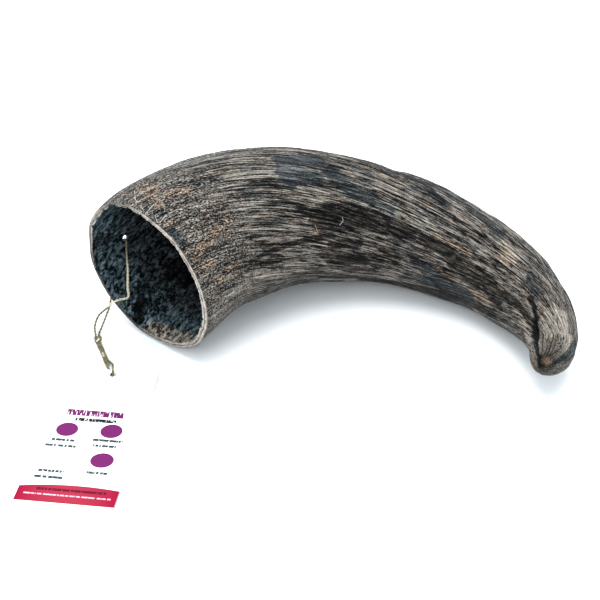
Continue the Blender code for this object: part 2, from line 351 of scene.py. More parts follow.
twine = {
    "diameter": 0.0013,
    "plyRadius": 0.00036,
    "plyOffset": 0.00028,
    "layLength": 0.0042,  # one full twist of the two plies
    "step": 0.0005,
    "around": 14,
    "fuzz": 260,
    "hair": 0.00004,
    "exit": (-0.1214, -0.0063, 0.0142),
    "route": (
        (-127.1, -23.6, 0.9), (-120.6, -39.9, 1.0), (-117.1, -46.2, 2.6),
        (-115.7, -53.0, 5.9), (-115.5, -54.8, 5.2), (-115.5, -55.5, 3.4), (-115.9, -54.9, 1.6),
        (-116.6, -53.2, 0.8),
        (-118.2, -49.3, 0.8), (-120.5, -45.3, 0.8), (-124.9, -34.1, 0.8), (-129.0, -23.9, 0.9),
        (-130.3, -17.9, 1.0), (-131.3, -13.2, 2.1), (-130.8, -9.2, 4.1), (-129.1, -7.0, 6.6),
        (-123.2, -6.7, 12.2),
        (-121.4, -6.3, 14.2), (-119.4, -6.3, 15.4), (-117.6, -5.2, 15.6), (-115.6, -3.9, 15.2),
        (-113.6, -2.9, 14.9), (-112.5, -1.9, 15.0),
        (-112.2, -0.2, 15.9), (-112.7, 2.2, 17.4), (-113.0, 5.1, 19.3), (-113.1, 8.7, 22.4),
        (-113.2, 11.7, 25.8), (-113.5, 14.4, 29.5), (-113.7, 16.8, 33.3), (-113.7, 18.3, 36.6),
        (-113.6, 19.3, 38.9), (-114.4, 21.0, 39.3), (-115.5, 22.5, 38.2), (-116.4, 23.0, 36.9),
        (-117.0, 22.4, 35.2),
        (-117.3, 20.6, 33.1), (-119.6, 12.4, 24.6), (-121.6, 2.0, 16.2), (-122.4, -2.6, 13.6),
        (-123.0, -4.7, 11.0), (-123.9, -5.8, 8.8), (-127.3, -13.1, 2.6), (-128.5, -17.6, 1.1),
        (-127.9, -21.6, 1.0),
    ),
    "tail": (
        (-128.6, -22.4, 1.0), (-126.2, -29.5, 0.8), (-122.6, -38.6, 0.8), (-119.6, -44.6, 1.4), (-118.9, -46.4, 1.9),
    ),
    "stub": ((-128.4, -22.6, 1.6), (-130.4, -22.9, 2.4), (-131.9, -22.3, 2.2)),
    "clear": 0.00005,  # no point comes lower
    "uneven": 0.10,
    "knot": Vector((-0.1285, -0.0226, 0.0016)),
    "knotSize": 0.00068,
    "knotParts": 90,
    "knotTall": 0.9,
    "knotClear": 0.0007,
    "looseAt": 121,  # mm along, where the twine is untwisted and thicker
    "looseReach": 9,
    "loose": 0.55,
    "paleFrom": (0.46, 0.48),  # shares of the route where the clean inner stretch starts and ends
    "paleTo": (0.67, 0.61),
    "fuzzLength": (0.0008, 0.0028),
    "fuzzBend": (0.2, 0.9),
    "fuzzTaper": (0.0, 1.0, 0.8, 0.5, 0.0),
    "fuzzRoot": 0.38,  # in diameters from the middle
    "fibres": (2600.0, 3.0, 0.7),
    "blotches": (260.0, 2.0),
    "fibreWeight": 0.75,
    "blotchWeight": 0.35,
    "dull": (
        (0.30, (0.022, 0.019, 0.010)), (0.48, (0.095, 0.082, 0.044)), (0.62, (0.21, 0.185, 0.108)),
        (0.80, (0.40, 0.36, 0.24)),
    ),
    "clean": ((0.25, (0.26, 0.20, 0.12)), (0.45, (0.66, 0.57, 0.40)), (0.70, (0.90, 0.84, 0.69))),
    "finish": {"Roughness": 0.85, "Specular IOR Level": 0.25},
    "bump": (0.6, 0.00012),
}


def headingThrough(before, middle, after, stretch):
    into = math.sqrt((middle - before).length)
    onward = math.sqrt((after - middle).length)
    slope = (middle - before) / into + (after - middle) / onward - (after - before) / (into + onward)
    return slope * math.sqrt(stretch)


# A smooth curve through the points.
def smoothRoute(points, parts=32):
    fine = []
    ends = [points[0] * 2 - points[1]] + list(points) + [points[-1] * 2 - points[-2]]
    for before, start, end, after in zip(ends, ends[1:], ends[2:], ends[3:]):
        stretch = (end - start).length
        leaving = headingThrough(before, start, end, stretch)
        arriving = headingThrough(start, end, after, stretch)
        for part in range(parts):
            share = part / parts
            near = 2 * share ** 3 - 3 * share ** 2 + 1
            fine.append(
                start * near + end * (1 - near)
                + leaving * (share ** 3 - 2 * share ** 2 + share) + arriving * (share ** 3 - share ** 2)
            )
    fine.append(points[-1].copy())
    return fine


# The curve through a list of points in mm, read at even steps.
def evenRoute(points):
    fine = smoothRoute([Vector(point) * mm for point in points])
    route = [fine[0]]
    walked = 0.0
    for start, end in zip(fine, fine[1:]):
        walked += (end - start).length
        if walked >= twine["step"]:
            route.append(end)
            walked = 0.0
    route.append(fine[-1])
    return route


# Sideways and upward directions carried along a path without twisting.
def carriedFrames(path):
    frames = []
    side = (path[1] - path[0]).orthogonal().normalized()
    for place in range(len(path)):
        ahead = (path[min(place + 1, len(path) - 1)] - path[max(place - 1, 0)]).normalized()
        side = (side - ahead * side.dot(ahead)).normalized()
        frames.append((side, ahead.cross(side)))
    return frames


# Two plies laid round each other: how far the outline stands from the middle in one direction.
def plyOutline(angle, walked):
    turned = angle - math.tau * walked / twine["layLength"]
    across = twine["plyOffset"] * math.sin(turned)
    loose = (walked / mm - twine["looseAt"]) / twine["looseReach"]
    swollen = 1 + twine["loose"] * math.exp(-loose * loose)
    return (abs(twine["plyOffset"] * math.cos(turned)) + math.sqrt(twine["plyRadius"] ** 2 - across ** 2)) * swollen


# A grid wrapped round a path, closed at both ends, with the strand's own map on it.
def wrapStrand(name, path, material, endTaper=1.0):
    frames = carriedFrames(path)
    walked = [0.0]
    for start, end in zip(path, path[1:]):
        walked.append(walked[-1] + (end - start).length)
    shape = bmesh.new()
    strand = shape.verts.layers.float_vector.new("strand")
    for spot, angle, place in wrappedGrid(shape, twine["around"], len(path)):
        side, up = frames[place]
        hairy = noise.noise(Vector((math.cos(angle) * 2.5, math.sin(angle) * 2.5, walked[place] * 900)))
        radius = plyOutline(angle, walked[place]) * (1 + twine["uneven"] * hairy)
        fromEnd = min(walked[place], walked[-1] - walked[place]) / (2 * twine["diameter"])
        radius *= endTaper + (1 - endTaper) * ease(fromEnd)
        spot.co = path[place] + (side * math.cos(angle) + up * math.sin(angle)) * radius
        spot.co.z = max(spot.co.z, twine["clear"])
        spot[strand] = (angle, walked[place] / mm, walked[place] / walked[-1])
    closeGrid(shape)
    return finish(name, shape, [material])


def makeJute():
    material, tree, shader = newMaterial("jute")
    place = objectPlace(tree)
    along = split(attribute(tree, "strand", "Vector"))[2]
    fibres = grain(place, *twine["fibres"])
    blotches = grain(place, *twine["blotches"])
    dull = ramp(fibres * twine["fibreWeight"] + blotches * twine["blotchWeight"], twine["dull"])
    pale = step(along, *twine["paleFrom"]) * step(along, *twine["paleTo"])
    colour = mixed(pale, dull, ramp(fibres, twine["clean"]))
    feedAll(shader, {"Base Color": colour, "Normal": bump(fibres, *twine["bump"]), **twine["finish"]})
    return material


# An overhand knot: a trefoil pressed a little flat.
def makeKnot(material):
    loop = []
    for part in range(twine["knotParts"]):
        turn = math.tau * part / (twine["knotParts"] - 1)
        trefoil = Vector((
            math.sin(turn) + 2 * math.sin(2 * turn), math.cos(turn) - 2 * math.cos(2 * turn),
            -math.sin(3 * turn) * twine["knotTall"],
        ))
        place = twine["knot"] + trefoil * twine["knotSize"]
        place.z = max(place.z, twine["knotClear"])
        loop.append(place)
    return wrapStrand("twine_knot", loop, material)


# Loose fibres standing off the strand.
def makeFuzz(path, material):
    chance = random.Random(11)
    shape = bmesh.new()
    strand = shape.verts.layers.float_vector.new("strand")
    for _ in range(twine["fuzz"]):
        place = chance.randrange(4, len(path) - 4)
        ahead = (path[place + 1] - path[place - 1]).normalized() * chance.choice((-1, 1))
        out = Vector((chance.uniform(-1, 1), chance.uniform(-1, 1), chance.uniform(-0.6, 1)))
        out = out.cross(ahead).normalized()
        aside = ahead.cross(out)
        length = chance.uniform(*twine["fuzzLength"])
        bend = chance.uniform(*twine["fuzzBend"])
        for spot, angle, row in wrappedGrid(shape, 3, len(twine["fuzzTaper"])):
            share = row / (len(twine["fuzzTaper"]) - 1)
            thick = twine["fuzzTaper"][row] * twine["hair"]
            lift = share ** 1.6 * length * bend + twine["diameter"] * twine["fuzzRoot"]
            lean = ahead * (share * length) + out * lift
            spot[strand] = (0.0, 0.0, place / len(path))
            spot.co = path[place] + lean + (out * math.cos(angle) + aside * math.sin(angle)) * thick
            spot.co.z = max(spot.co.z, twine["clear"])
    return finish("twine_fuzz", shape, [material])


def makeTwine():
    jute = makeJute()
    path = evenRoute(twine["route"])
    strand = wrapStrand("twine_strand", path, jute, endTaper=0.8)
    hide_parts("twine")
    pieces = [makeKnot(jute), makeFuzz(path, jute)]
    for name in ("tail", "stub"):
        pieces.append(wrapStrand("twine_" + name, evenRoute(twine[name]), jute, endTaper=0.5))
    length = sum((end - start).length for start, end in zip(path, path[1:]))
    print("twine made,", round(length * 1000), "mm long")


makeTwine()


card = {
    "foot": Vector((-0.1281, -0.1505, 0.0)),  # the middle of its lower edge
    "turn": 7.4,
    "white": (0.93, 0.935, 0.94),
    "dim": 0.97,
    "pulp": (1500.0, 3.0),
    "band": (0.26, 0.002, 0.027),
    "bandLight": (0.31, 0.024, 0.046),
    "bandTop": 15.0,
    "bandMiddle": 4.0,  # mm across, where the band's top is highest
    "bandBow": -0.0031,
    "bandFoot": (2.7, 2.95),
    "bandSoft": 0.12,
    "halfWidth": 25.0,
    "discs": ((-13.1, 53.6, 5.7), (9.8, 54.6, 5.7), (10.5, 33.5, 5.9)),  # x, y and radius in mm on the card
    "discShape": (1, 1.14, 0),
    "discColour": (0.135, 0.014, 0.098),
    "discSoft": 0.1,
    "bars": (  # from x, to x, y, half height in mm, colour
        (-17.0, 13.5, 66.2, 2.1, 0), (-11.0, 10.5, 61.4, 1.2, 1),
        (-19.0, -7.0, 45.8, 0.9, 2), (-21.0, -5.0, 41.6, 0.9, 2), (2.0, 17.5, 47.6, 0.9, 2), (3.0, 15.0, 43.6, 0.9, 2),
        (-19.0, -6.0, 23.6, 0.9, 2), (-20.0, -5.5, 19.4, 0.9, 2), (5.0, 15.5, 24.6, 0.9, 2),
        (-16.0, 18.5, 11.4, 0.8, 3), (-21.5, 21.5, 7.9, 0.45, 4),
    ),
    "barColours": (
        (0.12, 0.012, 0.085), (0.012, 0.012, 0.014), (0.035, 0.05, 0.055), (0.12, 0.003, 0.022), (0.70, 0.42, 0.50),
    ),
    "barSoft": 0.08,
    "strokes": ((1, 0.15, 0), 1.1, 1.0),
    "inked": (0.37, 0.45),
    # A painted shadow: a thin grey line along the card's right edge, from and to mm across, and its grey.
    "edge": (24.2, 24.8),
    "edgeShadowColour": (0.34, 0.35, 0.365),
    "front": (0.2, 0.4),
    "roughness": 0.40,
    "pulpRoughness": 0.15,
    "finish": {"Specular IOR Level": 0.03},
    "bump": (0.15, 0.00004),
}


# The CAD card keeps its shape and gets its colours here, in mm from its foot.
def makeCard():
    material, tree, shader = newMaterial("card")
    place = objectPlace(tree)
    turn = math.radians(card["turn"])
    foot = Matrix.Rotation(turn, 3, "Z") @ card["foot"]
    spot = addNode(tree, "ShaderNodeMapping", {
        "Vector": place, "Rotation": (0, 0, turn), "Location": -foot / mm, "Scale": (1 / mm, 1 / mm, 1 / mm),
    }, vector_type="POINT")
    across, upward, _ = split(spot)
    pulp = grain(place, *card["pulp"])
    colour = mixed(pulp, [value * card["dim"] for value in card["white"]], card["white"])
    top = (across - card["bandMiddle"]) ** 2.0 * card["bandBow"] + card["bandTop"]
    band = step(top - upward, -card["bandSoft"], card["bandSoft"]) * step(upward, *card["bandFoot"])
    glow = reckon("POWER", across / card["halfWidth"], 2.0, clamp=True)
    colour = mixed(band, colour, mixed(glow, card["bandLight"], card["band"]))
    for x, y, radius in card["discs"]:
        away = reckon("LENGTH", (spot - (x, y, 0)) * card["discShape"])
        colour = mixed(step(away, radius + card["discSoft"], radius - card["discSoft"]), colour, card["discColour"])
    squeeze, scale, detail = card["strokes"]
    inked = step(grain(spot * squeeze, scale, detail), *card["inked"])
    for left, right, y, half, kind in card["bars"]:
        beside, above, _ = split(abs(spot - ((left + right) / 2, y, 0)) - ((right - left) / 2, half, 1000))
        bar = step(reckon("MAXIMUM", beside, above), card["barSoft"], -card["barSoft"])
        colour = mixed(bar * inked, colour, card["barColours"][kind])
    # Painted shadow: the thin grey line along the right edge stands in for the shadow at the card's edge.
    colour = mixed(step(across, *card["edge"]), colour, card["edgeShadowColour"])
    facing = split(addNode(tree, "ShaderNodeNewGeometry", output="Normal"))[2]
    feedAll(shader, {
        "Base Color": mixed(step(facing, *card["front"]), card["white"], colour),
        "Roughness": pulp * card["pulpRoughness"] + card["roughness"],
        "Normal": bump(pulp, *card["bump"]), **card["finish"],
    })
    for slot in nodes["tag"].material_slots:
        slot.material = material


makeCard()
print("card tag finished")


horn = {
    "mouthCentre": Vector((-0.0975, -0.0252, 0.04445)),
    "lineLength": 0.302,
    "heading": (34.0, 84.0, 116.5, -58.0),
    "hook": 15.5,
    "hookStart": 0.75,
    "rise": (11.0, -95.0, 130.0, -44.0),
    "mouthRadius": 0.044,
    "tipRadius": 0.0109,
    "taper": 1.78,
    "tipDome": 0.0158,
    "tipLean": 0.0054,
    "cutHeading": 39.5,
    "cutRise": 3.0,
    "cutReach": 0.045,
    "wall": 0.0030,
    "wallUneven": 0.0007,
    "wallThickSide": 350.0,
    "wallGrowth": 0.0052,
    "hollowDepth": 0.70,
    "hollowClosing": 6,
    "hollowLastRing": 0.995,
    "flute": 0.00035,
    "swell": 0.00035,
    "lump": 0.0004,
    "creaseDepth": 0.0022,
    "creaseWidth": 0.0024,
    "creaseStart": 0.84,
    "hole": (0.080, 190.6),
    "holeLine": Vector((-0.487, 0.784, -0.386)),
    "holeDiameter": 0.0034,
    "drillLength": 0.016,
    "drillSegments": 32,
    "holeReach": 0.012,
    "around": 400,
    "outerRings": 136,
    "domeRings": 22,
    "rimRings": 8,
    "innerRings": 72,
    "straightGirth": 44,  # mm that the girth is evened out towards where the horn is drawn out straight
    "straightKeep": 0.3,  # how much of the real girth is kept there
    "straightDome": 14,
}

# Where the horn stands off that even form, in mm: along its far side and its near side by share of
# the line, and round the saw cut by degrees. The wall at the cut has its own.
trims = {
    "far": (
        (0.0, 0.2), (0.05, 0.6), (0.10, 0.3), (0.14, 0.6), (0.18, 1.2), (0.22, 1.2), (0.27, 0.7), (0.33, 1.1),
        (0.37, 0.8), (0.41, 0.1), (0.45, -0.6), (0.48, -0.8), (0.51, -1.5), (0.54, 0.0), (0.57, 0.7), (0.60, 0.8),
        (0.64, -0.3), (0.68, -0.7), (0.72, 0.3), (0.76, 1.1), (0.81, 1.6), (0.84, 0.5), (0.86, 0.1), (0.90, 0.8),
        (0.94, 1.2), (0.97, 1.7), (1.0, 1.3),
    ),
    "farDegrees": ((0.0, 138), (0.3, 124), (0.6, 130), (0.8, 140), (0.9, 150), (1.0, 172)),
    "farWidth": 50,
    "near": (
        (0.0, 0.2), (0.05, 0.7), (0.10, 0.9), (0.20, 1.0), (0.27, 0.9), (0.33, 0.2), (0.40, -0.1), (0.55, 0.0),
        (0.62, 0.4), (0.66, 1.0), (0.70, 1.5), (0.78, 1.5), (0.85, 1.4), (0.90, 1.2), (0.95, 0.7), (1.0, 0.2),
    ),
    "nearDegrees": ((0.0, 322), (0.2, 306), (0.35, 300), (0.6, 305), (0.84, 316), (0.9, 328), (1.0, 352)),
    "nearWidth": 25,
    "cut": (
        (0, 0.2), (60, 0.0), (75, 0.5), (110, 0.6), (135, 0.5), (150, -0.4), (168, -0.1), (190, 1.0), (215, 0.6),
        (235, 0.3), (262, -0.6), (290, -0.5), (305, 0.1), (325, 1.2), (340, 1.1), (352, 0.3), (360, 0.2),
    ),
    "cutReach": 0.12,
    "wall": (
        (0, 0.0), (70, -0.2), (85, -0.9), (112, -1.0), (130, 0.2), (145, 1.2), (165, 1.2), (178, 0.2), (200, -0.3),
        (240, -0.3), (260, 0.0), (360, 0.0),
    ),
    "wallReach": 0.20,
}


def direction(headingDegrees, riseDegrees):
    heading, rise = math.radians(headingDegrees), math.radians(riseDegrees)
    return Vector((math.sin(heading) * math.cos(rise), math.cos(heading) * math.cos(rise), math.sin(rise)))


def headingAt(share):
    hooked = max(0.0, (share - horn["hookStart"]) / (1 - horn["hookStart"]))
    return cubic(horn["heading"], share) + horn["hook"] * hooked ** 2


def middleLine(parts=299):
    points = [horn["mouthCentre"].copy()]
    for part in range(parts):
        share = (part + 0.5) / parts
        points.append(points[-1] + direction(headingAt(share), cubic(horn["rise"], share)) * horn["lineLength"] / parts)
    return points


line = middleLine()


def pointAlong(share):
    place = min(max(share, 0.0), 1.0) * (len(line) - 1)
    low = min(int(place), len(line) - 2)
    return line[low].lerp(line[low + 1], place - low)


# Across the horn: the place, the level side, the upper side and the way along.
def frameAt(share):
    ahead = direction(headingAt(share), cubic(horn["rise"], share))
    square = direction(horn["cutHeading"], horn["cutRise"])
    slant = ease(1 - share * horn["lineLength"] / horn["cutReach"])
    along = (square * slant + ahead * (1 - slant)).normalized()
    level = along.cross(Vector((0, 0, 1))).normalized()
    return pointAlong(share), level, level.cross(along), along


def girthAt(share):
    return horn["mouthRadius"] + (horn["tipRadius"] - horn["mouthRadius"]) * share ** horn["taper"]


def softBetween(pairs, place):
    for (low, first), (high, second) in zip(pairs, pairs[1:]):
        if place <= high:
            return first + (second - first) * ease((place - low) / (high - low))
    return pairs[-1][1]


def lobe(angle, degrees, width):
    away = math.remainder(angle - math.radians(degrees), math.tau) / math.radians(width)
    return math.exp(-away * away)


# The trims that depend on the share alone are worked out once for each share.
@functools.cache
def sideTrims(share):
    return tuple(softBetween(trims[name], share) for name in ("far", "farDegrees", "near", "nearDegrees"))


def trimAt(share, angle):
    far, farDegrees, near, nearDegrees = sideTrims(share)
    trim = far * lobe(angle, farDegrees, trims["farWidth"]) + near * lobe(angle, nearDegrees, trims["nearWidth"])
    if share < trims["cutReach"]:
        trim += softBetween(trims["cut"], math.degrees(angle) % 360) * (1 - ease(share / trims["cutReach"]))
    return trim * mm


def outerRadius(share, angle):
    girth = girthAt(share)
    flutes = math.cos(7 * angle + 1.4 * math.sin(4 * share)) + 0.6 * math.cos(11 * angle - 5 * share + 1.7)
    swells = math.sin(31 * share + 0.8 * math.cos(angle + 0.6)) * ease(share * 8)
    return girth + horn["flute"] * girth / horn["mouthRadius"] * flutes + horn["swell"] * swells + trimAt(share, angle)


def creaseDepth(share, dome, angle):
    start = ease((share - horn["creaseStart"]) / (1 - horn["creaseStart"]))
    middle = math.radians(60 - 24 * start - 45 * dome)
    across = math.remainder(angle - middle, math.tau) * girthAt(share) / horn["creaseWidth"]
    return horn["creaseDepth"] * start * (1 - 0.5 * dome) * math.exp(-across * across)


def wallAt(share, angle):
    side = math.cos(angle - math.radians(horn["wallThickSide"]))
    uneven = horn["wallUneven"] * (side + 0.35 * math.cos(3 * angle + 1) + 0.25 * math.cos(8 * angle))
    trim = 0.0
    if share < trims["wallReach"]:
        trim = softBetween(trims["wall"], math.degrees(angle) % 360) * (1 - ease(share / trims["wallReach"])) * mm
    return horn["wall"] + uneven + horn["wallGrowth"] * share + trim


def innerRadius(share, angle):
    lumps = math.sin(5 * angle + 60 * share) + 0.7 * math.sin(9 * angle - 37 * share)
    rough = horn["lump"] * lumps * ease(share * 20)
    closing = math.sqrt(max(0.0, 1 - (share / horn["hollowDepth"]) ** horn["hollowClosing"]))
    return (outerRadius(share, angle) - wallAt(share, angle) + rough) * closing


# Degrees off the horn's own line.
grainLean = ((0, 12), (0.12, 14), (0.25, 10), (0.38, 6), (0.60, 2), (0.80, -7), (1.0, -18))

# How far the skin rises and falls, in metres, and the sizes of its forms, in mm across and along the fibres.
relief = {
    "ridge": 0.00030,
    "ridgeSize": (0.95, 16),
    "fineRidge": 0.00014,
    "fineSize": (0.7, 9),
    "fineShift": Vector((7, 3, 1)),
    "ridgeShare": 0.62,  # what the ridges make up of the map that the colours read, and the fine ones the rest
    "lump": 0.00035,
    "lumpSize": (9, 30),
    "inner": 0.00085,
    "innerSize": 4.2,
    "innerSlant": 12,
    "innerLong": 0.7,
    "rim": 0.00030,
    "chip": 0.0036,
    "burr": 0.0012,
    "chipShift": Vector((3, 1, 0)),
    "chippedSide": 135,
    "chippedWidth": 50,
    "chippedElsewhere": 0.35,
    "calmSide": 345,  # the smoother side, inside the bend
    "calmWidth": 38,
    "calm": 0.6,
}

# Cuts and lumps at the rounded end: from, to (mm), half width and depth (mm), and how dark the painted shade in the cut
# is.
tipMarks = (
    ((108.1, -42.8, 34.7), (108.0, -49.0, 31.5), 1.6, 0.7, 0.9),
    ((108.0, -49.0, 31.5), (107.6, -53.7, 28.5), 2.6, 1.4, 1.0),
    ((107.6, -53.7, 28.5), (106.7, -60.2, 27.0), 2.8, 1.9, 1.0),
    ((106.7, -60.2, 27.0), (105.5, -70.1, 28.3), 2.1, 1.5, 1.0),
    ((105.5, -70.1, 28.3), (106.3, -75.5, 27.4), 1.2, 1.0, 1.0),
    ((106.3, -75.5, 27.4), (107.2, -77.9, 24.1), 1.6, 1.2, 1.0),
    ((107.2, -77.9, 24.1), (111.7, -78.3, 24.4), 1.4, 1.0, 0.9),
    ((110.3, -74.4, 30.1), (112.6, -75.3, 29.4), 0.7, 0.4, 0.5),
    ((112.6, -75.3, 29.4), (116.0, -73.6, 30.4), 0.8, 0.5, 0.7),
    ((110.0, -77.5, 27.0), (110.6, -77.8, 26.0), 1.3, -0.9, 0.0),
)

# The pale nub at the end and the dark pit round it: the distances from its middle where each starts and is full.
tipNub = {"place": (0.1101, -0.0778, 0.0262), "reach": (0.0034, 0.00136), "broken": 0.011, "pit": (0.0062, 0.00341)}


# How far the grain has turned round the horn by then.
def grainTurns(parts=200):
    turned = [0.0]
    for part in range(parts):
        share = (part + 0.5) / parts
        slope = math.tan(math.radians(between(grainLean, share)))
        turned.append(turned[-1] + slope * horn["lineLength"] / parts / girthAt(share))
    return turned


turns = grainTurns()


def turnAt(share):
    return float(np.interp(share, np.linspace(0, 1, len(turns)), turns))


# The horn's place as if it were drawn out straight, in mm, with the grain's turn taken out.
def straightened(share, angle, dome=0.0):
    keep = horn["straightKeep"]
    girth = (girthAt(share) / mm) ** keep * horn["straightGirth"] ** (1 - keep) * (math.cos(dome) * 0.9 + 0.1)
    turned = angle + turnAt(share)
    length = horn["lineLength"] * share / mm + horn["straightDome"] * math.sin(dome)
    return Vector((girth * math.cos(turned), girth * math.sin(turned), length))


# The rings from the blind end of the hollow, out over the rim and down to the rounded end:
# what kind, the share along, and how far round the end or across the rim.
def hornRings():
    inner, rim, outer, dome = (horn[name] for name in ("innerRings", "rimRings", "outerRings", "domeRings"))
    rings = []
    for part in (ring / inner for ring in range(inner, 0, -1)):
        share = horn["hollowLastRing"] * horn["hollowDepth"] * (0.35 * part + 0.65 * part ** 2.6)
        rings.append(("inside", share, 0.0))
    rings += [("rim", 0.0, 1 - ring / rim) for ring in range(rim + 1)]
    for part in (ring / outer for ring in range(1, outer + 1)):
        rings.append(("outside", part - 0.35 * math.sin(math.tau * part) / math.tau, 0.0))
    return rings + [("dome", 1.0, math.pi / 2 * ring / dome) for ring in range(1, dome)]


def insidePoint(share, angle, origin, across, straight):
    slant = Vector((straight.x, straight.y, (straight.z + relief["innerSlant"] * angle) * relief["innerLong"]))
    size = relief["innerSize"]
    rough = noise.noise(slant / size) + 0.7 * noise.noise(slant / (size / 2)) + 0.3 * noise.noise(slant)
    radius = innerRadius(share, angle) + relief["inner"] * rough * ease(share * 25)
    return origin + across * radius, rough * 0.5 + 0.5


def rimPoint(extra, angle, origin, across, along):
    outer, inner = outerRadius(0, angle), innerRadius(0, angle)
    rough = noise.noise(across * 40 + Vector((0, 0, extra * 3)))
    edge = ease(1 - 5 * min(extra, 1 - extra))
    beyond = relief["rim"] * (0.6 * rough * (1 - edge) + edge)
    nick = noise.noise(across * 15 + relief["chipShift"])
    nick += 0.8 * noise.noise(across * 38) + 0.5 * noise.noise(across * 80)
    chipped = relief["chippedElsewhere"] + lobe(angle, relief["chippedSide"], relief["chippedWidth"])
    inner += relief["chip"] * chipped * max(0.0, nick - 0.2) - relief["burr"] * max(0.0, -nick - 0.2)
    return origin + across * (outer + (inner - outer) * extra) + along * beyond, rough * 0.5 + 0.5


# One point of the skin, and how high its fibre stands there, 0 to 1.
def hornPoint(kind, share, extra, angle, frameHere, straight):
    origin, level, up, along = frameHere
    across = level * math.cos(angle) + up * math.sin(angle)
    if kind == "inside":
        return insidePoint(share, angle, origin, across, straight)
    if kind == "rim":
        return rimPoint(extra, angle, origin, across, along)
    ridge = ridges(straight, *relief["ridgeSize"])
    fine = ridges(straight + relief["fineShift"], *relief["fineSize"])
    wide, long = relief["lumpSize"]
    lumpy = noise.noise(Vector((straight.x / wide, straight.y / wide, straight.z / long)))
    calm = lobe(angle, relief["calmSide"], relief["calmWidth"])
    height = relief["ridge"] * (ridge - 0.5) + relief["fineRidge"] * (fine - 0.5)
    height = height * (1 - relief["calm"] * calm) + relief["lump"] * lumpy
    height *= ease(share * 60)
    shown = relief["ridgeShare"] * ridge + (1 - relief["ridgeShare"]) * fine
    if kind == "outside":
        return origin + across * (outerRadius(share, angle) - creaseDepth(share, 0, angle) + height), shown
    radius = outerRadius(1, angle) - creaseDepth(1, math.sin(extra), angle)
    base = origin + along * horn["tipDome"] * math.sin(extra) + level * horn["tipLean"] * (1 - math.cos(extra))
    outward = across * math.cos(extra) + along * math.sin(extra)
    return base + across * radius * math.cos(extra) + outward * height, shown


# Presses the end's own marks into one point of the skin, and notes the painted shade in its cuts.
def cutTip(spot, creaseLayer, tip):
    origin, _, _, along = tip
    middle = origin - along * max(0.0, (origin - spot.co).dot(along))
    outward = (spot.co - middle).normalized()
    place = spot.co / mm
    pressed = 0.0
    for start, end, width, depth, dark in tipMarks:
        start, end = Vector(start), Vector(end)
        reach = min(1.0, max(0.0, (place - start).dot(end - start) / (end - start).length_squared))
        away = (place - start.lerp(end, reach)).length / width
        if away < 3:
            pressed += depth * math.exp(-away * away)
            spot[creaseLayer] = max(spot[creaseLayer], dark * math.exp(-0.6 * away * away))
    spot.co -= outward * pressed * mm


# The skin is a grid wrapped round the rings, joined along its seam and closed at both ends.
def wrapHorn(materials):
    rings = hornRings()
    frames = {share: frameAt(share) for _, share, _ in rings}
    shape = bmesh.new()
    layers = shape.verts.layers
    straightLayer = layers.float_vector.new("straight")
    reliefLayer, shareLayer, angleLayer = (layers.float.new(name) for name in ("relief", "share", "angle"))
    kindLayer = layers.int.new("kind")
    depthLayer = layers.float.new("depth")
    kinds = {"inside": 0, "rim": 1, "outside": 2, "dome": 2}
    for spot, angle, ring in wrappedGrid(shape, horn["around"], len(rings)):
        kind, share, extra = rings[ring]
        straight = straightened(share, angle, extra if kind == "dome" else 0.0)
        spot.co, spot[reliefLayer] = hornPoint(kind, share, extra, angle, frames[share], straight)
        spot[straightLayer] = straight
        spot[shareLayer] = share + (extra * 0.05 if kind == "dome" else 0)
        spot[angleLayer] = angle
        spot[kindLayer] = kinds[kind]
        spot[depthLayer] = extra if kind == "rim" else 0
    closeGrid(shape)
    creaseLayer = layers.float.new("mark_crease")
    tip = frameAt(1.0)
    for spot in shape.verts:
        if spot[shareLayer] > 0.8 and spot[kindLayer] == 2:
            cutTip(spot, creaseLayer, tip)
        spot.co.z = max(spot.co.z, 0.0)
    for face in shape.faces:
        met = {spot[kindLayer] for spot in face.verts}
        face.material_index = 0 if 2 in met else 1 if met == {1} else 2
    return finish("horn_dressed", shape, materials)


